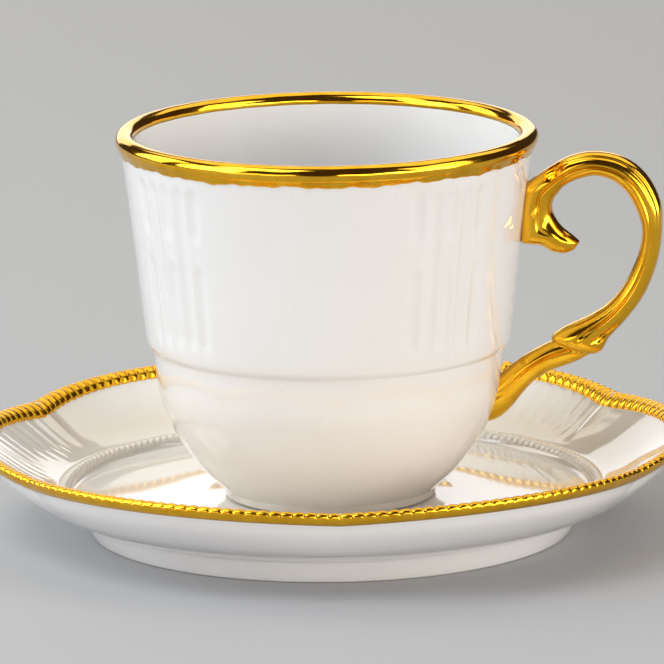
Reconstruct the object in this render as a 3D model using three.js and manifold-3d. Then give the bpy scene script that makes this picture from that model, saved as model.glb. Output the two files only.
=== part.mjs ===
// A porcelain teacup standing on its saucer, with gilded edges and a gilded scroll handle.
// Millimetres, +Z up. The origin is on the table, under the middle of the saucer.
// The cup's handle points along +X.
import * as THREE from "three";
import { mergeVertices } from "three/addons/utils/BufferGeometryUtils.js";
import Module from "manifold-3d";

const wasm = await Module();
wasm.setup();

// Driving dimensions
const TOTAL_HEIGHT = 85; // table to the top of the cup's lip
const CLEARANCE = 0.3; // gap left between two pieces that touch
const GILDING = 0.4; // thickness of the gilded skins

// Saucer
const SAUCER_FLOOR_Z = 7; // top of the well's flat floor
const SAUCER_FLOOR_THICKNESS = 2.4;
const SAUCER_FOOT_INNER_R = 48.2; // the flat ring that stands on the table
const SAUCER_FOOT_OUTER_R = 51;
const SAUCER_EDGE_R = 74; // middle of the round edge, at the crown of a lobe
const SAUCER_EDGE_Z = 19.6;
const SAUCER_EDGE_ROUND = 1.4; // radius of the edge's round section, gilding included
const LOBES = 6;
const LOBE_TURN = 39; // degrees from the handle to the first notch between two lobes
const NOTCH_DEPTH = 2.3; // how far a notch comes in from the crown of a lobe
const NOTCH_DROP = 1.3; // how far a notch lies below the crown
const LOBE_CURVE = 2; // each lobe's edge is a parabola
const FLANGE_START_R = 56; // the lobes grow from here out to the edge
const STEPS_PER_LOBE = 12;

// Cup
const CUP_FOOT_Z = SAUCER_FLOOR_Z + CLEARANCE;
const CUP_FOOT_R = 22.3;
const CUP_FOOT_WIDTH = 2.2;
const CUP_FOOT_DEPTH = 2.5; // how deep the foot is hollowed underneath
const CUP_FLOOR_Z = 13.2; // inside, in the middle
const LIP_ROUND = 1.95; // radius of the lip's round section, gilding included
const LIP_R = 42.2; // middle of the lip's round section
const LIP_Z = TOTAL_HEIGHT - LIP_ROUND;
const CUP_STEPS = 60;

// Handle
const HANDLE_WIDTH = 6.4;
const HANDLE_BEVEL = 0.9;

const PORCELAIN = new THREE.MeshStandardMaterial({ color: 0xf2ece1, roughness: 0.12, metalness: 0 });
const GOLD = new THREE.MeshStandardMaterial({ color: 0xd9a22b, roughness: 0.15, metalness: 1 });

const points = (pairs) => pairs.map(([r, z]) => new THREE.Vector2(r, z));

// A smooth curve through the given (radius, height) pairs.
function smooth(pairs, steps) {
  return new THREE.SplineCurve(points(pairs)).getPoints(steps);
}

// An arc round (r, z), its angles in degrees, 0 pointing outwards and 90 up.
function arc(r, z, radius, from, to, steps) {
  const curve = new THREE.EllipseCurve(
    r, z, radius, radius,
    THREE.MathUtils.degToRad(from), THREE.MathUtils.degToRad(to), to < from,
  );
  return curve.getPoints(steps);
}

// Turns an outline of (radius, height) points round the Z axis.
function turned(outline, steps) {
  const geometry = new THREE.LatheGeometry(outline, steps);
  geometry.rotateX(Math.PI / 2);
  return geometry;
}

// Draws a turned saucer piece in and down at the notches between its lobes.
function lobed(geometry) {
  const place = geometry.getAttribute("position");
  const lobe = (2 * Math.PI) / LOBES;
  for (let i = 0; i < place.count; i += 1) {
    const x = place.getX(i);
    const y = place.getY(i);
    const r = Math.hypot(x, y);
    const share = THREE.MathUtils.smoothstep(r, FLANGE_START_R, SAUCER_EDGE_R);
    const along = THREE.MathUtils.euclideanModulo(Math.atan2(y, x), lobe) / lobe;
    const notch = share * Math.abs(2 * along - 1) ** LOBE_CURVE;
    const scale = r > 0 ? 1 - (NOTCH_DEPTH * notch) / r : 1;
    place.setXYZ(i, x * scale, y * scale, place.getZ(i) - NOTCH_DROP * notch);
  }
  geometry.rotateZ(THREE.MathUtils.degToRad(LOBE_TURN));
  geometry.computeVertexNormals();
  return geometry;
}

// The saucer: a foot ring, a flat well and a rising flange, whose edge carries the gilding.
function saucerBody() {
  const underside = SAUCER_FLOOR_Z - SAUCER_FLOOR_THICKNESS;
  const core = SAUCER_EDGE_ROUND - GILDING - CLEARANCE;
  const outline = [
    ...points([
      [0, underside],
      [46.4, underside],
      [47.6, underside - 1],
      [SAUCER_FOOT_INNER_R - 0.2, 0.5],
      [SAUCER_FOOT_INNER_R, 0],
      [SAUCER_FOOT_OUTER_R, 0],
      [SAUCER_FOOT_OUTER_R + 0.4, 0.5],
    ]),
    ...smooth([[52, 5], [58, 6.5], [65, 10], [70.7, 14.3], [73.6, 17.9]], 6),
    ...arc(SAUCER_EDGE_R, SAUCER_EDGE_Z, core, -60, 168, 5),
    ...smooth([[72.4, 18.9], [69.4, 16.7], [63.6, 12.8], [58.8, 10.1], [56.9, 9.5]], 5),
    ...points([[55.8, 9.2], [54.9, 7.7], [53.4, SAUCER_FLOOR_Z], [0, SAUCER_FLOOR_Z]]),
  ];
  return lobed(turned(outline, LOBES * STEPS_PER_LOBE));
}

// A gilded skin round a rounded edge, as a C that closes on itself.
function gildedEdge(r, z, round, from, to, steps) {
  const outside = arc(r, z, round, from, to, steps);
  const inside = arc(r, z, round - GILDING, to, from, steps);
  return [...outside, ...inside, outside[0].clone()];
}

function saucerEdgeGilding() {
  const section = gildedEdge(SAUCER_EDGE_R, SAUCER_EDGE_Z, SAUCER_EDGE_ROUND, -54, 162, 6);
  return lobed(turned(section, LOBES * STEPS_PER_LOBE));
}

// The outside of the cup, from the foot up to the gilding. The wall steps in above the round bowl.
function cupOutside() {
  return [
    ...points([[CUP_FOOT_R - 0.3, CUP_FOOT_Z], [CUP_FOOT_R, CUP_FOOT_Z + 0.6], [CUP_FOOT_R - 0.1, 8.8]]),
    ...smooth([[22.9, 9.4], [27.2, 13.6], [31, 18.7], [33.7, 23.6], [35.6, 29], [36.4, 34.4]], 6),
    ...points([[36.5, 36], [36.9, 37.3], [37.8, 38.6], [38.3, 40]]),
    ...smooth([[38.5, 41.2], [39.9, 55.7], [41.5, 69.3], [42.9, 79.8]], 5),
  ];
}

function cupBowl() {
  const foot = CUP_FOOT_Z + CUP_FOOT_DEPTH;
  const footInner = CUP_FOOT_R - CUP_FOOT_WIDTH;
  const core = LIP_ROUND - GILDING - CLEARANCE;
  const outline = [
    ...points([[0, foot], [footInner - 0.8, foot], [footInner, CUP_FOOT_Z]]),
    ...cupOutside(),
    ...arc(LIP_R, LIP_Z, core, -70, 168, 5),
    ...smooth([[40.2, 80.2], [38.9, 69.5], [37.3, 55.9], [35.9, 41.6]], 4),
    ...smooth([[35.2, 38], [33.8, 33.5], [31.6, 27], [27, 20], [19, 15], [9, 13.5], [0, CUP_FLOOR_Z]], 8),
  ];
  return turned(outline, CUP_STEPS);
}

function cupLipGilding() {
  return turned(gildedEdge(LIP_R, LIP_Z, LIP_ROUND, -54, 162, 6), CUP_STEPS);
}

// The side view of the handle, in (distance from the cup's axis, height): a scroll that leaves the
// wall below the lip with a curl under it, and comes back to the bowl past a pointed spur.
function handleOutline() {
  const outline = new THREE.Shape();
  outline.moveTo(38.5, 72.5);
  outline.lineTo(42.4, 73.5);
  outline.splineThru(points([
    [46.2, 76.6], [50.7, 80.1], [56, 81.4], [62.5, 80], [67.9, 75.2],
    [70.4, 68], [70.1, 61.1], [67.7, 53.3], [63, 45.6], [58.8, 41.2],
  ]));
  outline.lineTo(57.4, 38.7);
  outline.splineThru(points([[53, 36.5], [46.5, 34], [42.3, 31.2], [38.6, 26.6], [36.6, 23.9]]));
  outline.lineTo(32.5, 22.8);
  outline.lineTo(32.5, 34.6);
  outline.lineTo(37.8, 34.6);
  outline.splineThru(points([
    [42.4, 38], [47.3, 41.4], [53.6, 45.5], [60.8, 50.7], [64.6, 58.4],
    [65.7, 65], [63.6, 71.7], [57.5, 75.6], [50.5, 73.9], [47.4, 69],
  ]));
  outline.splineThru(points([[48.6, 65.4], [52.3, 62]]));
  outline.lineTo(51.4, 59.4);
  outline.splineThru(points([[46.5, 59.5], [42.4, 61]]));
  outline.lineTo(38.5, 61.6);
  outline.closePath();
  return outline;
}

function asSolid(geometry) {
  geometry.deleteAttribute("normal");
  geometry.deleteAttribute("uv");
  const merged = mergeVertices(geometry, 1e-4);
  return new wasm.Manifold(new wasm.Mesh({
    numProp: 3,
    vertProperties: merged.getAttribute("position").array,
    triVerts: new Uint32Array(merged.index.array),
  }));
}

function asGeometry(solid) {
  const mesh = solid.getMesh();
  const geometry = new THREE.BufferGeometry();
  geometry.setAttribute("position", new THREE.BufferAttribute(mesh.vertProperties, 3));
  geometry.setIndex(new THREE.BufferAttribute(mesh.triVerts, 1));
  geometry.computeVertexNormals();
  return geometry;
}

// The handle is the side view given its width, cut off at the clearance outside the cup's wall.
function cupHandle() {
  const scroll = new THREE.ExtrudeGeometry(handleOutline(), {
    depth: HANDLE_WIDTH - 2 * HANDLE_BEVEL,
    curveSegments: 2,
    bevelThickness: HANDLE_BEVEL,
    bevelSize: HANDLE_BEVEL,
    bevelOffset: -HANDLE_BEVEL,
    bevelSegments: 1,
  });
  scroll.translate(0, 0, -HANDLE_WIDTH / 2 + HANDLE_BEVEL);
  scroll.rotateX(Math.PI / 2);
  const wall = cupOutside().map(({ x, y }) => new THREE.Vector2(x + CLEARANCE, y));
  const inside = [new THREE.Vector2(0, wall[0].y), ...wall, new THREE.Vector2(0, wall.at(-1).y)];
  return asGeometry(asSolid(scroll).subtract(asSolid(turned(inside, CUP_STEPS))));
}

const teacup = new THREE.Group();

function add(name, geometry, material) {
  const piece = new THREE.Mesh(geometry, material);
  piece.name = name;
  teacup.add(piece);
}

add("saucer_body", saucerBody(), PORCELAIN);
add("saucer_edge_gilding", saucerEdgeGilding(), GOLD);
add("cup_bowl", cupBowl(), PORCELAIN);
add("cup_lip_gilding", cupLipGilding(), GOLD);
add("cup_handle", cupHandle(), GOLD);

export default teacup;
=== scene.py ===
# %% [markdown]
# A teacup and its saucer: thin glossy porcelain with bright gold on the lip, the handle and the
# saucer's edge. The imported model gives every size, and this lesson first loads it and keeps its
# parts in the scene.

# %% The imported model
import math

import bpy
import numpy as np
from mathutils import Matrix, Vector


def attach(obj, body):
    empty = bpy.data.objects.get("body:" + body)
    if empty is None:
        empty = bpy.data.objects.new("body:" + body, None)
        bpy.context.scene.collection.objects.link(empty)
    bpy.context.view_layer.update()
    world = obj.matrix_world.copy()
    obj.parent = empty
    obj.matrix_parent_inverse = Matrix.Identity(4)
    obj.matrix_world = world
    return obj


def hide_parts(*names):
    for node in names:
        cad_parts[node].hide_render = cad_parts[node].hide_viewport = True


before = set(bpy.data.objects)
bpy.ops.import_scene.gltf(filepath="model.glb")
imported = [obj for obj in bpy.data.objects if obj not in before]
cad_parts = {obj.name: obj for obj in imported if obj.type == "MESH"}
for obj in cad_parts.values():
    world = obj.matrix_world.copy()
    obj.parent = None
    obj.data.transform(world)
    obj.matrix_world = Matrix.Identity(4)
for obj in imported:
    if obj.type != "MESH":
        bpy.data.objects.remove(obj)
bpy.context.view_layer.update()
MM = 0.001

# %% [markdown]
# The set is looked at from a little above, almost side on to the handle, with a long lens that
# keeps the circles flat. The camera's place is worked out from two angles and a distance, and it
# leans a little, as a camera on a tripod often does.

# %% The camera
VIEW_AZIMUTH = math.radians(7.5)
VIEW_ELEVATION = math.radians(12.1)
VIEW_DISTANCE = 1600 * MM
VIEW_LEAN = math.radians(-0.66)
AIM_ASIDE = 0.64 * MM
AIM_HEIGHT = 41.5 * MM
LENS = 414.3

across = Vector((math.cos(VIEW_AZIMUTH), math.sin(VIEW_AZIMUTH), 0))
level = Vector((math.sin(VIEW_AZIMUTH), -math.cos(VIEW_AZIMUTH), 0))
backwards = level * math.cos(VIEW_ELEVATION) + Vector((0, 0, math.sin(VIEW_ELEVATION)))
upwards = backwards.cross(across)
right = across * math.cos(VIEW_LEAN) + upwards * math.sin(VIEW_LEAN)
top = upwards * math.cos(VIEW_LEAN) - across * math.sin(VIEW_LEAN)
aim = across * AIM_ASIDE + Vector((0, 0, AIM_HEIGHT))

bpy.ops.object.select_all(action="DESELECT")
bpy.ops.object.camera_add()
camera = bpy.context.object
camera.data.lens = LENS
camera.data.clip_end = 50
turn = Matrix((right, top, backwards)).transposed().to_4x4()
camera.matrix_world = Matrix.Translation(aim + backwards * VIEW_DISTANCE) @ turn
bpy.context.scene.camera = camera
print("camera stands at", [round(v, 3) for v in camera.matrix_world.translation])

# %% [markdown]
# The pale floor is one big plane. Broad softboxes stand all round, as in a studio for china: their
# crisp reflections show the glaze, and their light fills the flutes. Between them the room is
# dark, because gold shows only what it reflects, and in a bright room it would look like yellow
# plastic.

# %% The floor, the lamps and the room
FLOOR_GREY = (0.455, 0.455, 0.465, 1)
bpy.ops.mesh.primitive_plane_add(size=30)
floor = bpy.context.object
floor.name = "floor"
floor_paint = bpy.data.materials.new("floor_paint")
floor_paint.use_nodes = True
floor_shader = floor_paint.node_tree.nodes["Principled BSDF"]
floor_shader.inputs["Base Color"].default_value = FLOOR_GREY
floor_shader.inputs["Roughness"].default_value = 0.9
floor_shader.inputs["Specular IOR Level"].default_value = 0.1
floor.data.materials.append(floor_paint)


def softbox(name, azimuth, elevation, distance, wide, high, glow):
    """A lamp with a flat bright face turned to the cup. glow is the face's brightness in red,
    green and blue, where 1 is as bright as a white card in full light."""
    bpy.ops.object.light_add(type="AREA")
    lamp = bpy.context.object
    lamp.name = name
    a, e = math.radians(azimuth), math.radians(elevation)
    out = Vector((math.sin(a) * math.cos(e), -math.cos(a) * math.cos(e), math.sin(e)))
    lamp.location = out * distance + Vector((0, 0, AIM_HEIGHT))
    lamp.rotation_euler = out.to_track_quat("Z", "Y").to_euler()
    lamp.data.shape = "RECTANGLE"
    lamp.data.size = wide
    lamp.data.size_y = high
    lamp.data.energy = math.pi * wide * high * max(glow)
    lamp.data.color = [part / max(glow) for part in glow]


softbox("left_box", -62, 24, 1.3, 0.8, 0.9, (4.2, 4.6, 5.0))
softbox("left_high_box", -45, 58, 1.6, 1.0, 0.7, (3.3, 3.6, 3.9))
softbox("left_side_box", -105, 25, 1.3, 0.6, 0.9, (3.2, 3.2, 3.0))
softbox("right_box", 75, 24, 1.3, 0.8, 1.0, (2.7, 2.65, 2.65))
softbox("low_left_box", -30, 7, 1.7, 1.3, 0.4, (2.3, 2.0, 1.7))
softbox("low_right_box", 35, 7, 1.7, 1.3, 0.4, (4.1, 3.8, 3.5))
softbox("low_side_box", 62, 4, 1.7, 1.2, 0.4, (6.0, 5.7, 5.2))
softbox("back_box", -165, 13, 1.4, 1.1, 0.55, (1.5, 1.5, 1.5))
softbox("overhead_box", 180, 62, 1.8, 2.4, 1.8, (1.28, 1.22, 1.05))

ROOM_GLOW = (0.05, 0.035, 0.025)
room = bpy.data.worlds.new("room")
room.use_nodes = True
room.node_tree.nodes["Background"].inputs[0].default_value = (*ROOM_GLOW, 1)
room.node_tree.nodes["Background"].inputs[1].default_value = 1.0
bpy.context.scene.world = room
bpy.context.scene.view_settings.view_transform = "Standard"

# %% [markdown]
# Round ware is drawn as a half section and spun round, as it is thrown on a wheel or cut with a
# profile tool. By hand this is one point, extruded along the section point by point, and then
# Spin. The section's long curves go smoothly through a few points, and its small rounds are arcs.

# %% Drawing a section and spinning it


def curve(knots, steps):
    """Values along a smooth curve through the knots, with so many steps between two knots."""
    p = np.array(knots, float)
    p = np.array([2 * p[0] - p[1], *p, 2 * p[-1] - p[-2]])
    made = []
    for a, b, c, d in zip(p[:-3], p[1:-2], p[2:-1], p[3:]):
        for t in np.arange(steps) / steps:
            bend = 2 * a - 5 * b + 4 * c - d + t * (3 * (b - c) + d - a)
            made.append(b + 0.5 * t * (c - a + t * bend))
    made.append(p[-2])
    return made


def smooth(knots, steps):
    """Points of a section on a smooth curve through the knots."""
    return [tuple(point) for point in curve(knots, steps)]


def arc(r, z, radius, start, end, steps):
    """Points on an arc round (r, z), with angles in degrees: 0 points outwards and 90 up."""
    turns = np.radians(np.linspace(start, end, steps + 1))
    return [(r + radius * math.cos(t), z + radius * math.sin(t)) for t in turns]


def edit(piece):
    """Makes the piece the only selected object and opens it for editing, all of it selected."""
    if bpy.context.object and bpy.context.object.mode == "EDIT":
        bpy.ops.object.mode_set(mode="OBJECT")
    bpy.ops.object.select_all(action="DESELECT")
    piece.select_set(True)
    bpy.context.view_layer.objects.active = piece
    bpy.ops.object.mode_set(mode="EDIT")
    bpy.ops.mesh.select_all(action="SELECT")


def close_up(piece):
    """Merges doubled points, turns the faces outwards and shades the piece smooth."""
    edit(piece)
    bpy.ops.mesh.remove_doubles(threshold=0.002 * MM)
    bpy.ops.mesh.normals_make_consistent(inside=False)
    bpy.ops.object.mode_set(mode="OBJECT")
    bpy.ops.object.shade_smooth()


SECTORS = 16
DOUBLINGS = 4


def spun(name, section, steps):
    """A piece of round ware from its section, a list of (radius, height) in mm. A sixteenth of the
    turn is spun, and then doubled four times, which is much quicker than one long spin."""
    bpy.ops.object.select_all(action="DESELECT")
    r, z = section[0]
    bpy.ops.mesh.primitive_plane_add(size=MM, location=(r * MM, 0, z * MM))
    piece = bpy.context.object
    piece.name = name
    bpy.ops.object.transform_apply(location=True, rotation=True, scale=True)
    edit(piece)
    bpy.ops.mesh.merge(type="CENTER")
    for (r0, z0), (r1, z1) in zip(section[:-1], section[1:]):
        move = ((r1 - r0) * MM, 0, (z1 - z0) * MM)
        bpy.ops.mesh.extrude_region_move(TRANSFORM_OT_translate={"value": move})
    bpy.ops.mesh.select_all(action="SELECT")
    swept = 2 * math.pi / SECTORS
    bpy.ops.mesh.spin(steps=steps // SECTORS, angle=swept, center=(0, 0, 0), axis=(0, 0, 1))
    for _ in range(DOUBLINGS):
        bpy.ops.mesh.select_all(action="SELECT")
        bpy.ops.mesh.duplicate()
        bpy.ops.transform.rotate(value=swept, orient_axis="Z", center_override=(0, 0, 0))
        swept *= 2
    close_up(piece)
    return piece


quarter = arc(0, 0, 2, 0, 90, 3)
print("a quarter arc in three steps:", [(round(r, 2), round(z, 2)) for r, z in quarter])

# %% [markdown]
# Shallow relief, such as flutes and ribs, is pressed into a finished surface with the Displace
# modifier. A vertex group says how much each point takes part, and here its weights come from a
# formula of the point's place, which gives each flute a clean, even shape.

# %% Reading places and pressing a relief
LEAST_WEIGHT = 0.001


def places(piece):
    """Every point of the piece in mm, as columns x, y and z."""
    flat = np.empty(len(piece.data.vertices) * 3)
    piece.data.vertices.foreach_get("co", flat)
    return flat.reshape(-1, 3) / MM


def put(piece, points):
    """Moves the piece's points to the given places in mm."""
    piece.data.vertices.foreach_set("co", (points * MM).ravel())
    piece.data.update()


def relief(piece, title, height, weights):
    """Raises the surface by height mm times each point's weight. A negative height presses it in."""
    group = piece.vertex_groups.new(name=title)
    for i in np.flatnonzero(weights > LEAST_WEIGHT):
        group.add([int(i)], float(weights[i]), "REPLACE")
    press = piece.modifiers.new(title, "DISPLACE")
    press.vertex_group = title
    press.direction = "NORMAL"
    press.mid_level = 0
    press.strength = height * MM
    bpy.context.view_layer.objects.active = piece
    bpy.ops.object.modifier_apply(modifier=press.name)
    piece.vertex_groups.remove(piece.vertex_groups[title])


def warm(piece, share):
    """Writes the share of painted warm shade at each point, 0 to 1, as a value the finish can read."""
    layer = piece.data.attributes.new("painted_warm_shade", "FLOAT", "POINT")
    layer.data.foreach_set("value", np.asarray(share, dtype=np.float32))


def report(piece):
    """Prints how many faces the piece has and how big it is."""
    low, high = places(piece).min(0), places(piece).max(0)
    print(piece.name, len(piece.data.polygons), "faces,", np.round(high - low, 1), "mm")


print("relief deeper than", LEAST_WEIGHT, "of its height is pressed")


# %% [markdown]
# The saucer stands on a foot ring. From there the flange swells out and up to a rope edge, and
# inside it falls to a notched step round the flat well. The section is drawn once, from the middle
# of the underside round to the middle of the well.

# %% The saucer's section
FLOOR = 7.0
EDGE_R = 74.0
EDGE_Z = 19.6
EDGE_CORE = 0.95
ROUND_STEPS = 576

saucer_section = [
    (0, 4.6), (20, 4.6), (44.5, 4.6), *arc(44.6, 1.8, 2.8, 90, 8, 6),
    (48.0, 0.5), (48.4, 0.12), (48.8, 0),
    (50.2, 0), (50.7, 0.12), (51.0, 0.5), (52.0, 2.6), (52.9, 4.5), (53.1, 4.85), (53.4, 5.1),
    *smooth([(53.8, 5.2), (55.6, 5.6), (58, 6.5), (65, 10), (70.7, 14.4), (73.6, 18.0)], 5),
    *arc(EDGE_R, EDGE_Z, EDGE_CORE, -60, 170, 12),
    *smooth([(72.4, 18.9), (69.4, 16.7), (63.6, 12.7), (58.9, 10.2), (57.6, 9.6)], 6),
    *arc(56.4, 8.5, 1.1, 60, 190, 8),
    *smooth([(55.0, 7.7), (54.5, 7.2), (53.6, FLOOR)], 3),
    (49, FLOOR), (40, FLOOR), (27.2, FLOOR), (26.6, 6.93), (26.0, FLOOR), (12, FLOOR), (0, FLOOR),
]
saucer = spun("saucer_porcelain", saucer_section, ROUND_STEPS)
report(saucer)

# %% [markdown]
# The edge has six lobes. Each runs in a low curve from notch to notch, and the notches come in and
# down, most at the edge and not at all at the well. No single edit-mode move draws that, so one
# function moves the points, and the gold edge, made later, goes through the same function.

# %% Six lobes
LOBES = 6
LOBE_TURN = 39.0
NOTCH_DEPTH = 2.3
NOTCH_DROP = 1.3
FLANGE_START = 57.0


def lobe_place(points):
    """For each point, how far along its lobe it lies, from 0 to 1, and the lobe's number."""
    turns = (np.degrees(np.arctan2(points[:, 1], points[:, 0])) - LOBE_TURN) % 360 / (360 / LOBES)
    return turns % 1, np.floor(turns).astype(int)


def ease(value, start, end):
    """0 before start and 1 after end, with a soft change between them."""
    t = np.clip((value - start) / (end - start), 0, 1)
    return t * t * (3 - 2 * t)


def draw_lobes(piece):
    """Draws the piece in and down at the notches."""
    points = places(piece)
    r = np.hypot(points[:, 0], points[:, 1])
    along, _ = lobe_place(points)
    notch = ease(r, FLANGE_START, EDGE_R) * (2 * along - 1) ** 2
    scale = 1 - NOTCH_DEPTH * notch / np.maximum(r, 1)
    points[:, 0] *= scale
    points[:, 1] *= scale
    points[:, 2] -= NOTCH_DROP * notch
    put(piece, points)


draw_lobes(saucer)
rim = np.hypot(*places(saucer)[:, :2].T)
print("the rim's crown lies", round(rim.max(), 2), "mm from the middle")

# %% [markdown]
# Every other lobe is fluted: fine hollows fan out across the flange, deepest where they gather at the
# notches, and fade before they reach the well. They are only on the side that faces up.

# %% Flutes on every other lobe
FLUTES_PER_LOBE = 20
LOBE_FLUTE_DEPTH = 0.2
FOLD_HEIGHT = 0.35
FOLD_WIDTH = 1.6
LOBE_DEGREES = 360 / LOBES

points = places(saucer)
r = np.hypot(points[:, 0], points[:, 1])
along, number = lobe_place(points)
from_middle = np.abs((along * FLUTES_PER_LOBE) % 1 * 2 - 1)
above = points[:, 2] > 8 + 0.62 * (r - 57)
gather = 0.55 + 0.45 * (2 * along - 1) ** 2
hollow = (1 - from_middle ** 2) * gather * (number % 2 == 0) * above
hollow *= ease(r, 58.5, 63) * (1 - ease(r, 70.6, 72.2))
relief(saucer, "lobe_flutes", -LOBE_FLUTE_DEPTH, hollow)
from_notch = np.minimum(along, 1 - along) * LOBE_DEGREES
fold = np.exp(-((from_notch / FOLD_WIDTH) ** 2)) * above
relief(saucer, "notch_folds", FOLD_HEIGHT, fold * ease(r, 60, 68) * (1 - ease(r, 71, 72.6)))
report(saucer)

# %% [markdown]
# The step round the well is cut with fine slanting notches, like a milled coin. It is a ring of its
# own here, half sunk in the porcelain, because it needs more points round than the saucer does.

# %% The notched step
STEP_NOTCHES = 192
STEP_R = 56.35
STEP_Z = 8.5
STEP_ROUND = 1.2
STEP_SLANT = 0.35
STEP_NOTCH_DEPTH = 0.22

step_section = arc(STEP_R, STEP_Z, STEP_ROUND, 0, 360, 20)
step_ring = spun("saucer_notched_step", step_section, STEP_NOTCHES * 8)
points = places(step_ring)
r = np.hypot(points[:, 0], points[:, 1])
side = np.arctan2(points[:, 2] - STEP_Z, STEP_R - r)
turns = np.arctan2(points[:, 1], points[:, 0]) * STEP_NOTCHES + side * STEP_SLANT * 2 * math.pi
notch = np.maximum(0, np.cos(turns)) ** 1.5
starting = ease(side, math.radians(-40), math.radians(0))
ending = ease(side, math.radians(80), math.radians(115))
relief(step_ring, "notches", -STEP_NOTCH_DEPTH, notch * (starting * (1 - ending)))
report(step_ring)

# %% [markdown]
# The edge is a gilded rope of short ribs that lie across it side by side. It is a ring of oval
# section that leans inwards down the flange. The ribs are raised on its top and inner side and die
# away underneath, and at each notch the gold reaches further in, to a point.

# %% The saucer's gold edge
RIBS = 192
ROPE_LONG = 1.62
ROPE_SHORT = 0.98
ROPE_LEAN = 38.0
ROPE_R = 73.57
ROPE_Z = 19.34
RIB_HEIGHT = 0.34
NOTCH_REACH = 1.1
REACH_DROP = 0.75


def oval(r, z, long, short, lean, steps):
    """Points on an oval round (r, z), whose long axis rises outwards at lean degrees."""
    turns = np.radians(np.linspace(0, 360, steps + 1))
    c, s = math.cos(math.radians(lean)), math.sin(math.radians(lean))
    a, b = long * np.cos(turns), short * np.sin(turns)
    return list(zip(r + a * c - b * s, z + a * s + b * c))


rope_section = oval(ROPE_R, ROPE_Z, ROPE_LONG, ROPE_SHORT, ROPE_LEAN, 20)
edge_gold = spun("saucer_rope_gilding", rope_section, RIBS * 10)
points = places(edge_gold)
r = np.hypot(points[:, 0], points[:, 1])
side = np.degrees(np.arctan2(points[:, 2] - ROPE_Z, r - ROPE_R)) % 360
turns = np.arctan2(points[:, 1], points[:, 0]) - math.radians(LOBE_TURN)
rib = np.sqrt(1 - (2 * (turns * RIBS / (2 * math.pi) % 1) - 1) ** 2)
upper = ease(side, 10, 45) * (1 - ease(side, 215, 250))
along, _ = lobe_place(points)
reach = NOTCH_REACH * np.abs(2 * along - 1) ** 3 * ease(ROPE_R - r, 0, ROPE_LONG * 0.7)
points[:, 0] *= 1 - reach / r
points[:, 1] *= 1 - reach / r
points[:, 2] -= reach * REACH_DROP
put(edge_gold, points)
draw_lobes(edge_gold)
relief(edge_gold, "ribs", RIB_HEIGHT, rib * upper + (1 - upper) * 0.5)
report(edge_gold)

# %% [markdown]
# The cup's bowl is round below and nearly straight above a small shoulder, with a rolled lip. Its
# section runs from the hollow foot up the outside, over the lip and down the inside.

# %% The cup's section
CUP_FOOT = 7.3
LIP_R = 42.2
LIP_Z = 83.05
LIP_ROUND = 1.87

cup_outside = [
    *smooth([
        (22.4, 8.9), (22.9, 9.5), (27.2, 13.6), (31, 18.7), (33.7, 23.6), (35.6, 29), (36.4, 34.4),
    ], 6),
    *smooth([(36.6, 36.6), (36.75, 38.2), (36.85, 38.9)], 2), (36.95, 39.15), (37.2, 39.4),
    *smooth([(37.6, 39.75), (38.05, 40.4), (38.3, 41.3), (38.45, 42.2)], 3),
    *smooth([
        (38.65, 44), (39.25, 49.5), (39.95, 56), (40.7, 62.5), (41.5, 69.3), (42.2, 75), (42.85, 80),
    ], 7),
    *smooth([(43.0, 80.8), (43.45, 81.6), (43.85, 82.2)], 3),
]
cup_inside = [
    *smooth([
        (40.25, 82), (40.1, 80.2), (38.9, 69.5), (37.3, 55.9), (35.95, 41.6), (35.2, 38), (33.8, 33.5),
    ], 2),
    *smooth([(32.9, 30.2), (31.6, 27), (27, 20), (19, 15), (9, 13.5), (0, 13.2)], 4),
]
cup_section = [
    (0, 9.8), (12, 9.8), (17.5, 9.8), *smooth([(18.6, 9.6), (19.4, 8.8), (19.9, 7.8), (20.1, 7.42)], 3),
    (20.4, CUP_FOOT), (21.7, CUP_FOOT), (22.0, 7.42), (22.25, 7.8),
    *cup_outside,
    *arc(LIP_R, LIP_Z, LIP_ROUND, -18, 190, 16),
    *cup_inside,
]
cup = spun("cup_porcelain", cup_section, ROUND_STEPS)
report(cup)

# %% [markdown]
# Four groups of five flutes run down the wall, with round ends and a soft ridge between. The first,
# middle and last of a group are broken by a small dimple. The weights measure how far a point lies
# from the flute's middle line, which also rounds the ends.

# %% Flutes on the cup
FLUTE_PITCH = 5.75
FLUTE_TOP = 78.8
FLUTE_FOOT = 43.4
FLUTE_SOFTNESS = 1.35
FLUTE_DEPTH = 0.42
WALL_R = 40
BREAK_TOP = 66.6
BREAK_FOOT = 62.2
DIMPLE = 64.4


def hollow_between(angle, height, foot, head):
    """1 on the middle line of an upright flute from foot to head, falling to 0 at its rim."""
    half = FLUTE_PITCH / 2
    mm_per_degree = math.radians(1) * WALL_R
    bend = half * mm_per_degree * 1.3
    end = np.maximum(0, np.maximum(foot + bend - height, height - head + bend))
    away = (angle / half) ** 2 + (end / bend) ** 2
    return np.clip(1 - away, 0, 1) ** FLUTE_SOFTNESS


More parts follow.
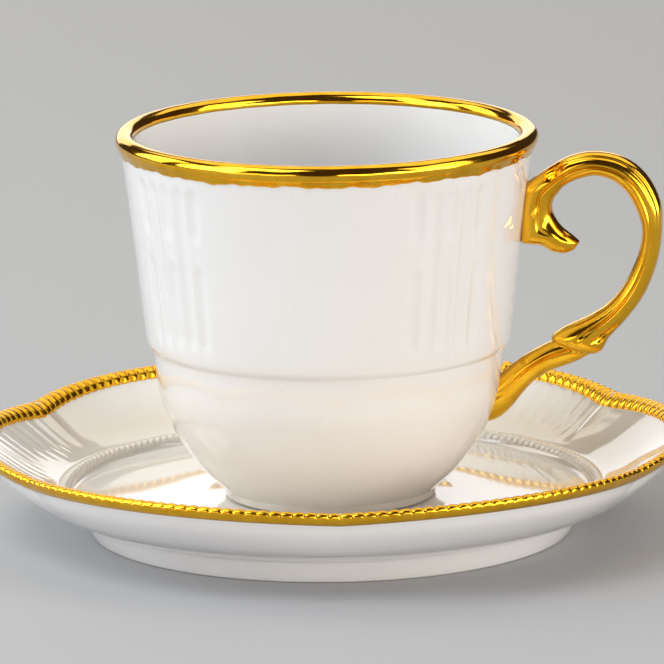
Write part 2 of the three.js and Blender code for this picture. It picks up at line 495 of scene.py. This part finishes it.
points = places(cup)
angle = np.degrees(np.arctan2(points[:, 1], points[:, 0]))
height = points[:, 2]
outside = np.hypot(points[:, 0], points[:, 1]) > 38.2 + (height - 41) * 0.105
flutes = np.zeros(len(points))
for middle in (45, 135, 225, 315):
    for i in range(-2, 3):
        off = (angle - middle - i * FLUTE_PITCH + 180) % 360 - 180
        if i % 2 == 0:
            flutes = np.maximum(flutes, hollow_between(off, height, BREAK_TOP, FLUTE_TOP))
            flutes = np.maximum(flutes, hollow_between(off, height, FLUTE_FOOT, BREAK_FOOT))
            spot = 1 - (off * 0.7 / 0.75) ** 2 - ((height - DIMPLE) / 0.9) ** 2
            flutes = np.maximum(flutes, 0.5 * np.clip(spot, 0, 1))
        else:
            flutes = np.maximum(flutes, hollow_between(off, height, FLUTE_FOOT, FLUTE_TOP))
relief(cup, "flutes", -FLUTE_DEPTH, flutes * outside)
report(cup)

# %% [markdown]
# The gold on the lip is a thin skin over the roll, from just under it outside to just under it inside.
# Its section follows the lip a hair outside the porcelain and comes back inside the porcelain.

# %% The cup's gold lip
FILM = 0.04
WAVER_HEIGHT = 0.13
WALL_SLOPE = 0.125
WAVE_HEIGHT = 0.035

lip_gold_section = [
    (43.05, 80.75), *smooth([(43.14, 80.8), (43.5, 81.5), (43.95, 82.2)], 3),
    *arc(LIP_R, LIP_Z, LIP_ROUND + FILM, -18, 185, 20),
    (40.35, 82.6), *arc(LIP_R, LIP_Z, LIP_ROUND - 0.3, 190, -20, 12),
    (43.0, 81.5), (43.05, 80.75),
]
lip_gold = spun("cup_lip_gilding_band", lip_gold_section, ROUND_STEPS)
points = places(lip_gold)
turns = np.arctan2(points[:, 1], points[:, 0])
waver = np.sin(turns * 9 + 1) + np.sin(turns * 23 + 4)
waver = waver + 0.8 * np.sin(turns * 41 + 2) + 0.6 * np.sin(turns * 77)
low_edge = (points[:, 2] < 81.7) * (np.hypot(points[:, 0], points[:, 1]) > 42.7)
drop = WAVER_HEIGHT * (waver + 1.5) * low_edge
points[:, 2] -= drop
points[:, 0] *= 1 - drop * WALL_SLOPE / 43
points[:, 1] *= 1 - drop * WALL_SLOPE / 43
put(lip_gold, points)
height = points[:, 2]
swell = 0.5 + 0.2 * np.sin(turns * 13 + height * 2.2) + 0.3 * np.sin(turns * 29 - height * 1.7 + 2)
relief(lip_gold, "hand_waves", WAVE_HEIGHT, np.clip(swell, 0, 1))
report(lip_gold)

# %% [markdown]
# The handle is one casting of two stems. The scroll starts in a curl, climbs the wall, loops over
# and ends in a flared leaf, and a lower stem goes from under the leaf back to the bowl. Each stem
# is a face that is extruded station by station. A station says where the stem's inner and outer
# edges are, how wide it is, and how deep the creases along its sides are.

# %% Extruding a stem along its stations
INNER_CREASE = -0.12
OUTER_CREASE = 0.66
CREASE_WIDTH = 0.09
SQUARENESS = 2.3


def side_places():
    """Places across the stem, from -1 at its inner edge to 1 at its outer edge, close together
    at the creases."""
    even = np.sin(np.radians(np.arange(-90, 91, 15)))
    steps = np.arange(-5, 6) * 0.045
    close = [crease + steps for crease in (INNER_CREASE, OUTER_CREASE)]
    return np.unique(np.round(np.clip(np.concatenate([even, *close]), -1, 1), 3))


def stem_ring(station, places_across):
    """One ring of the stem, a list of points in mm."""
    inner_x, inner_z, outer_x, outer_z, wide, inner_deep, outer_deep = station
    face = (1 - np.abs(places_across) ** SQUARENESS) ** (1 / SQUARENESS) * wide / 2
    face = face - inner_deep * np.exp(-(((places_across - INNER_CREASE) / CREASE_WIDTH) ** 2))
    face = face - outer_deep * np.exp(-(((places_across - OUTER_CREASE) / CREASE_WIDTH) ** 2))
    face = np.maximum(face, 0)
    share = (places_across + 1) / 2
    x = inner_x + (outer_x - inner_x) * share
    z = inner_z + (outer_z - inner_z) * share
    near = np.column_stack([x, -face, z])
    far = np.column_stack([x, face, z])[::-1][1:-1]
    return np.concatenate([near, far])


def stem(name, path, steps):
    """A closed stem through the path's stations."""
    stations = curve(path, steps)
    places_across = side_places()
    ring = stem_ring(stations[0], places_across)
    bpy.ops.object.select_all(action="DESELECT")
    bpy.ops.mesh.primitive_circle_add(vertices=len(ring), radius=MM)
    piece = bpy.context.object
    piece.name = name
    put(piece, ring)
    edit(piece)
    bpy.ops.mesh.edge_face_add()
    for station in stations[1:]:
        bpy.ops.mesh.extrude_region_move()
        bpy.ops.object.mode_set(mode="OBJECT")
        chosen = np.array([v.index for v in piece.data.vertices if v.select])
        points = places(piece)
        points[chosen] = stem_ring(station, places_across)
        put(piece, points)
        bpy.ops.object.mode_set(mode="EDIT")
    close_up(piece)
    return piece


print("each ring of a stem has", 2 * len(side_places()) - 2, "points")

# %% The scroll and the lower stem
scroll_stations = [
    # inner x, inner z, outer x, outer z, width, inner crease, outer crease
    (52.8, 61.7, 52.5, 61.1, 1.4, 0, 0),
    (52.1, 62.3, 51.6, 59.9, 3.4, 0, 0),
    (50.9, 63.3, 49.7, 59.2, 5.4, 0, 0),
    (49.7, 64.2, 47.2, 59.5, 6.1, 0, 0),
    (48.8, 65.1, 44.8, 60.8, 6.4, 0, 0),
    (48.1, 66.1, 42.4, 61.0, 6.4, 0.1, 0),
    (47.5, 67.2, 40.6, 61.6, 6.4, 0.25, 0),
    (47.2, 68.4, 40.3, 65.6, 6.4, 0.4, 0),
    (47.2, 69.6, 40.8, 70.0, 6.4, 0.5, 0),
    (47.6, 70.8, 41.3, 73.3, 6.4, 0.55, 0),
    (48.5, 72.0, 43.6, 75.3, 6.4, 0.6, 0.1),
    (50.0, 73.6, 46.7, 77.5, 6.4, 0.65, 0.25),
    (52.9, 75.0, 50.8, 79.8, 6.4, 0.65, 0.35),
    (56.5, 75.7, 55.9, 80.8, 6.4, 0.6, 0.4),
    (60.2, 74.5, 62.0, 79.7, 6.4, 0.5, 0.4),
    (62.9, 72.0, 66.8, 76.0, 6.4, 0.4, 0.4),
    (64.8, 68.4, 69.7, 70.5, 6.4, 0.3, 0.3),
    (65.8, 65.0, 70.1, 65.6, 6.4, 0.25, 0.15),
    (65.5, 61.2, 69.7, 60.6, 6.4, 0.25, 0),
    (64.2, 57.2, 68.5, 55.8, 6.4, 0.3, 0),
    (61.9, 52.6, 66.3, 50.6, 6.3, 0.4, 0),
    (58.6, 48.7, 63.0, 45.9, 6.3, 0.5, 0.1),
    (54.8, 46.1, 60.3, 42.9, 6.5, 0.55, 0.35),
    (51.2, 44.4, 58.8, 41.2, 6.9, 0.4, 0.5),
    (48.6, 43.0, 58.1, 39.8, 7.3, 0.15, 0.2),
    (46.9, 41.5, 57.2, 38.5, 6.9, 0, 0),
    (47.3, 40.3, 55.6, 37.9, 5.4, 0, 0),
    (49.0, 39.6, 53.6, 38.3, 2.6, 0, 0),
]
lower_stations = [
    (51.6, 41.6, 55.2, 38.0, 4.2, 0.1, 0),
    (49.6, 41.4, 52.6, 36.5, 5.4, 0.6, 0),
    (47.4, 40.7, 49.4, 35.2, 5.8, 0.7, 0),
    (45.2, 39.7, 46.5, 34.1, 5.9, 0.7, 0),
    (43.2, 38.6, 44.2, 32.7, 6.0, 0.6, 0),
    (41.2, 37.4, 42.1, 30.8, 6.1, 0.5, 0),
    (39.6, 36.3, 40.1, 28.4, 6.2, 0.4, 0),
    (38.0, 34.8, 38.0, 25.8, 6.3, 0.3, 0),
    (36.4, 33.4, 35.6, 23.8, 6.3, 0.1, 0),
    (34.6, 32.2, 32.8, 22.8, 6.2, 0, 0),
]
scroll = stem("handle_scroll", scroll_stations, 4)
lower = stem("handle_lower_stem", lower_stations, 3)
report(scroll)
report(lower)

# %% [markdown]
# A Boolean union welds the two stems where they overlap, so the handle is one closed body, and the
# creases stay crisp. Then two small hollows are pressed in: the leaf notch at the upper root and
# the tucks between the leaf's folds.

# %% One handle
LEAF_NOTCH_DEPTH = 0.7
MIDDLE_BAND = 0.6

weld = scroll.modifiers.new("weld", "BOOLEAN")
weld.operation = "UNION"
weld.solver = "EXACT"
weld.object = lower
bpy.ops.object.select_all(action="DESELECT")
bpy.context.view_layer.objects.active = scroll
bpy.ops.object.modifier_apply(modifier=weld.name)
bpy.ops.object.select_all(action="DESELECT")
lower.select_set(True)
bpy.ops.object.delete()
handle = scroll
close_up(handle)


def dent(points, x, z, along_x, along_z, length, breadth):
    """Weights of an oval dent on both sides of the handle, with its long axis along the given
    direction."""
    size = math.hypot(along_x, along_z)
    lengthways = ((points[:, 0] - x) * along_x + (points[:, 2] - z) * along_z) / size
    crossways = ((points[:, 2] - z) * along_x - (points[:, 0] - x) * along_z) / size
    on_side = np.abs(points[:, 1]) > MIDDLE_BAND
    return np.exp(-((lengthways / length) ** 2) - (crossways / breadth) ** 2) * on_side


points = places(handle)
notch = dent(points, 47.7, 76.6, 1, 1, 1.5, 0.8) + 0.5 * dent(points, 43.6, 69.0, 1, 2, 1.6, 0.5)
tucks = 0.8 * dent(points, 58.6, 42.6, 2, 1, 1.6, 0.4) + 0.6 * dent(points, 56.6, 41.2, 3, 1, 1.8, 0.35)
relief(handle, "leaf_notches", -LEAF_NOTCH_DEPTH, np.clip(notch + tucks, 0, 1))
report(handle)

# %% [markdown]
# Porcelain under glaze is two surfaces: a white, slightly warm body that scatters light, and over it
# a clear hard coat that reflects the lamps sharply.

# %% Porcelain
WHITES = (0.86, 0.85, 0.84), (0.89, 0.88, 0.87)
# Painted shade: darker, warmer glaze colours mixed in where shade and bounced light fall.
PAINTED_SHADE_CREAMS = (0.77, 0.695, 0.605), (0.80, 0.73, 0.64)
BARE_CLAY = (0.74, 0.70, 0.62)
IRON_SPECK = (0.55, 0.50, 0.43)
GLAZE_START = 0.12


def new_material(name):
    """A new node material, with its nodes and links."""
    material = bpy.data.materials.new(name)
    material.use_nodes = True
    return material, material.node_tree.nodes, material.node_tree.links


def noise(nodes, links, coordinates, scale, detail):
    """Cloudy noise from 0 to 1. scale is the number of clouds to a metre."""
    texture = nodes.new("ShaderNodeTexNoise")
    texture.inputs["Scale"].default_value = scale
    texture.inputs["Detail"].default_value = detail
    links.new(coordinates, texture.inputs["Vector"])
    return texture.outputs["Fac"]


def ramp(nodes, links, value, low, high, dark, light):
    """A colour that goes from dark to light as the value goes from low to high."""
    made = nodes.new("ShaderNodeValToRGB")
    made.color_ramp.elements[0].position = low
    made.color_ramp.elements[1].position = high
    made.color_ramp.elements[0].color = (*dark, 1)
    made.color_ramp.elements[1].color = (*light, 1)
    links.new(value, made.inputs["Fac"])
    return made.outputs["Color"]


def level_share(nodes, links, height, low, high):
    """0 below low mm and 1 above high mm."""
    share = nodes.new("ShaderNodeMapRange")
    share.inputs["From Min"].default_value = low * MM
    share.inputs["From Max"].default_value = high * MM
    links.new(height, share.inputs["Value"])
    return share.outputs[0]


def mixed(nodes, links, share, first, second):
    """A colour that goes from first to second as the share goes from 0 to 1."""
    mix = nodes.new("ShaderNodeMix")
    mix.data_type = "RGBA"
    links.new(share, mix.inputs["Factor"])
    for colour, socket in ((first, mix.inputs["A"]), (second, mix.inputs["B"])):
        if isinstance(colour, tuple):
            socket.default_value = (*colour, 1)
        else:
            links.new(colour, socket)
    return mix.outputs["Result"]


def porcelain(name, foot_height, shade):
    """Glazed china, with painted warm shade where the piece's points carry it. The foot, where it
    stands in the kiln, is bare and matt up to foot_height mm. shade lightens or darkens the whole, and
    the darkening is painted shade."""
    material, nodes, links = new_material(name)
    shader = nodes["Principled BSDF"]
    where = nodes.new("ShaderNodeTexCoord").outputs["Object"]
    split = nodes.new("ShaderNodeSeparateXYZ")
    links.new(where, split.inputs[0])
    cloud = noise(nodes, links, where, 35, 3)
    whites = [tuple(shade * c for c in colour) for colour in WHITES]
    painted_shade_pair = [tuple(shade * c for c in colour) for colour in PAINTED_SHADE_CREAMS]
    white = ramp(nodes, links, cloud, 0.3, 0.7, *whites)
    painted_shade_ramp = ramp(nodes, links, cloud, 0.3, 0.7, *painted_shade_pair)
    # The points' share of painted warm shade mixes the white glaze towards the darker, warmer colours.
    painted_warm_shade = nodes.new("ShaderNodeAttribute")
    painted_warm_shade.attribute_name = "painted_warm_shade"
    glaze = mixed(nodes, links, painted_warm_shade.outputs["Fac"], white, painted_shade_ramp)
    speck = noise(nodes, links, where, 900, 1)
    specks = ramp(nodes, links, speck, 0.18, 0.24, IRON_SPECK, (1, 1, 1))
    spotted = nodes.new("ShaderNodeMix")
    spotted.data_type = "RGBA"
    spotted.blend_type = "MULTIPLY"
    spotted.inputs["Factor"].default_value = 0.25
    links.new(glaze, spotted.inputs["A"])
    links.new(specks, spotted.inputs["B"])
    bare = level_share(nodes, links, split.outputs["Z"], foot_height + GLAZE_START, foot_height)
    surface = mixed(nodes, links, bare, spotted.outputs["Result"], BARE_CLAY)
    links.new(surface, shader.inputs["Base Color"])
    rough = nodes.new("ShaderNodeMapRange")
    rough.inputs["To Min"].default_value = 0.08
    rough.inputs["To Max"].default_value = 0.55
    links.new(bare, rough.inputs["Value"])
    links.new(rough.outputs[0], shader.inputs["Roughness"])
    waves = noise(nodes, links, where, 140, 2)
    bump = nodes.new("ShaderNodeBump")
    bump.inputs["Strength"].default_value = 0.06
    bump.inputs["Distance"].default_value = 0.25 * MM
    links.new(waves, bump.inputs["Height"])
    links.new(bump.outputs[0], shader.inputs["Normal"])
    shader.inputs["IOR"].default_value = 1.52
    shader.inputs["Coat Weight"].default_value = 0.7
    shader.inputs["Coat Roughness"].default_value = 0.03
    return material


# The cup is the same porcelain as the saucer; its copy is darkened to 0.89 as painted shade.
saucer_china = porcelain("saucer_china", 0.1, 1.0)
cup_china = porcelain("cup_china", CUP_FOOT + 0.1, 0.89)
print("porcelain is mixed by", len(cup_china.node_tree.nodes), "nodes")

# %% [markdown]
# Shade and bounced light are painted into the glaze as a darker, warmer colour: on the saucer's upper
# side and notched step and low on the bowl, with the saucer's underside left white. The share goes onto
# the points, and the finish reads it there.

# %% Where warm shade is painted on the glaze
points = places(saucer)
r = np.hypot(points[:, 0], points[:, 1])
# Painted shade on the saucer's upper side, growing towards the flange, and none underneath; the step
# takes 0.7 all round.
painted_shade_on_top = ease(points[:, 2] - (5.9 + 0.76 * np.maximum(r - 55, 0)), -0.6, 0.6)
warm(saucer, painted_shade_on_top * (0.45 + 0.55 * ease(r, 54, 62)))
warm(step_ring, np.full(len(step_ring.data.vertices), 0.7))
points = places(cup)
# Painted warm shade low on the cup's bowl, fading out by 46 mm.
warm(cup, 1 - ease(points[:, 2], 8, 46))
print("warm glaze on", int(painted_shade_on_top.sum()), "of", len(painted_shade_on_top), "saucer points")

# %% [markdown]
# Bright gold is a metal: all of its colour is in what it reflects. The film is brushed on by hand, so
# its thickness and polish vary, which shows as faint cloudy changes of tone and gloss.

# %% Gilding
DEEP_GOLD = (0.80, 0.41, 0.018)
PALE_GOLD = (0.93, 0.53, 0.035)


def gilding(name, grain, smoothest, roughest):
    """Burnished gold. grain is the number of brush clouds to a metre."""
    material, nodes, links = new_material(name)
    shader = nodes["Principled BSDF"]
    where = nodes.new("ShaderNodeTexCoord").outputs["Object"]
    cloud = noise(nodes, links, where, grain, 4)
    colour = ramp(nodes, links, cloud, 0.3, 0.7, DEEP_GOLD, PALE_GOLD)
    links.new(colour, shader.inputs["Base Color"])
    polish = nodes.new("ShaderNodeMapRange")
    polish.inputs["To Min"].default_value = smoothest
    polish.inputs["To Max"].default_value = roughest
    links.new(cloud, polish.inputs["Value"])
    links.new(polish.outputs[0], shader.inputs["Roughness"])
    speck = noise(nodes, links, where, 1800, 2)
    bump = nodes.new("ShaderNodeBump")
    bump.inputs["Strength"].default_value = 0.06
    bump.inputs["Distance"].default_value = 0.1 * MM
    links.new(speck, bump.inputs["Height"])
    links.new(bump.outputs[0], shader.inputs["Normal"])
    shader.inputs["Metallic"].default_value = 1.0
    return material


lip_finish = gilding("lip_finish", 220, 0.05, 0.16)
rope_finish = gilding("rope_finish", 300, 0.16, 0.30)
handle_finish = gilding("handle_finish", 160, 0.07, 0.18)
print("gold is mixed by", len(handle_finish.node_tree.nodes), "nodes")

# %% [markdown]
# Each finished piece takes its material and rides on the CAD body that it belongs to, and the plain
# CAD node that it replaces is hidden.

# %% Putting the set together
for piece, material, body, finish, nodes in (
    (saucer, saucer_china, "saucer", "porcelain", ["saucer_body"]),
    (step_ring, saucer_china, "saucer", "porcelain", []),
    (edge_gold, rope_finish, "saucer", "gilding", ["saucer_edge_gilding"]),
    (cup, cup_china, "cup", "porcelain", ["cup_bowl"]),
    (lip_gold, lip_finish, "cup", "gilding", ["cup_lip_gilding"]),
    (handle, handle_finish, "cup", "gilding", ["cup_handle"]),
):
    piece.data.materials.clear()
    piece.data.materials.append(material)
    if nodes:
        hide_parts(*nodes)
    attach(piece, body)
    print(piece.name, "rides on", body)
